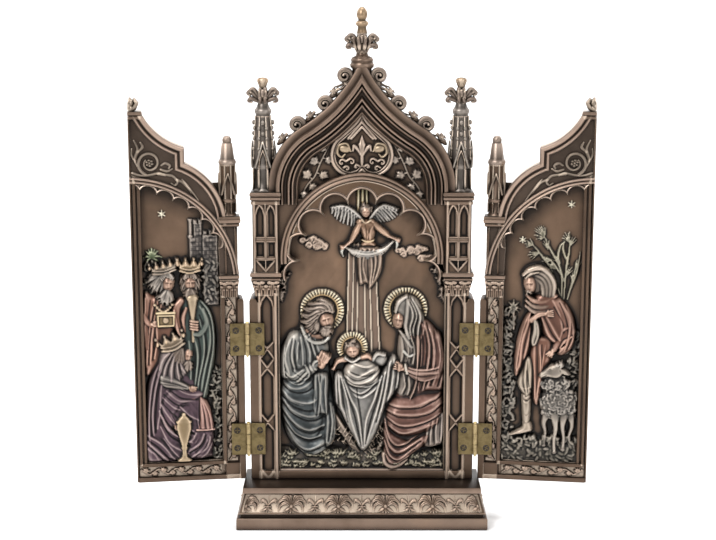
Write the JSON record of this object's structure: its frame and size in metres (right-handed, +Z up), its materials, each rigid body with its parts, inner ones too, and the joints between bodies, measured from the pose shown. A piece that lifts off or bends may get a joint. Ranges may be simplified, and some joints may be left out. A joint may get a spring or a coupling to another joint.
{
  "type": "triptych altarpiece",
  "caption": "Standing triptych altarpiece: a relief panel under a pinnacled Gothic gable on a stepped plinth, with hinged half-arch wings that fold shut over it.",
  "frame": {"origin": "middle of the plinth's flat underside", "axes": "+Z up, -Y out of the front of the reliefs, +X to the viewer's right when facing the front"},
  "size_m": [0.2582, 0.042, 0.29],
  "materials": {
    "bronze": "cold-cast bronze, dark brown patina with rubbed bright edges and thin tints on the figures",
    "brass": "aged brass butt hinges",
    "steel": "blackened steel screws"
  },
  "bodies": {
    "middle": {"plinth": "bronze", "centre_panel": "bronze", "hinge_left_top_panel_leaf": "brass", "hinge_left_top_pin": "brass", "screw_left_top_panel_upper": "steel", "screw_left_top_panel_lower": "steel", "hinge_left_bottom_panel_leaf": "brass", "hinge_left_bottom_pin": "brass", "screw_left_bottom_panel_upper": "steel", "screw_left_bottom_panel_lower": "steel", "hinge_right_top_panel_leaf": "brass", "hinge_right_top_pin": "brass", "screw_right_top_panel_upper": "steel", "screw_right_top_panel_lower": "steel", "hinge_right_bottom_panel_leaf": "brass", "hinge_right_bottom_pin": "brass", "screw_right_bottom_panel_upper": "steel", "screw_right_bottom_panel_lower": "steel"},
    "left_wing": {"wing_left": "bronze", "hinge_left_top_wing_leaf": "brass", "screw_left_top_wing_upper": "steel", "screw_left_top_wing_lower": "steel", "hinge_left_bottom_wing_leaf": "brass", "screw_left_bottom_wing_upper": "steel", "screw_left_bottom_wing_lower": "steel"},
    "right_wing": {"wing_right": "bronze", "hinge_right_top_wing_leaf": "brass", "screw_right_top_wing_upper": "steel", "screw_right_top_wing_lower": "steel", "hinge_right_bottom_wing_leaf": "brass", "screw_right_bottom_wing_upper": "steel", "screw_right_bottom_wing_lower": "steel"}
  },
  "joints": [
    {"name": "left_wing_hinge", "type": "hinge", "parent": "middle", "child": "left_wing", "pos_m": [-0.0645, -0.0105, 0.0775], "axis": [0, 0, 1], "range_deg": [-16, 172]},
    {"name": "right_wing_hinge", "type": "hinge", "parent": "middle", "child": "right_wing", "pos_m": [0.0645, -0.0105, 0.0775], "axis": [0, 0, -1], "range_deg": [-16, 172]}
  ]
}
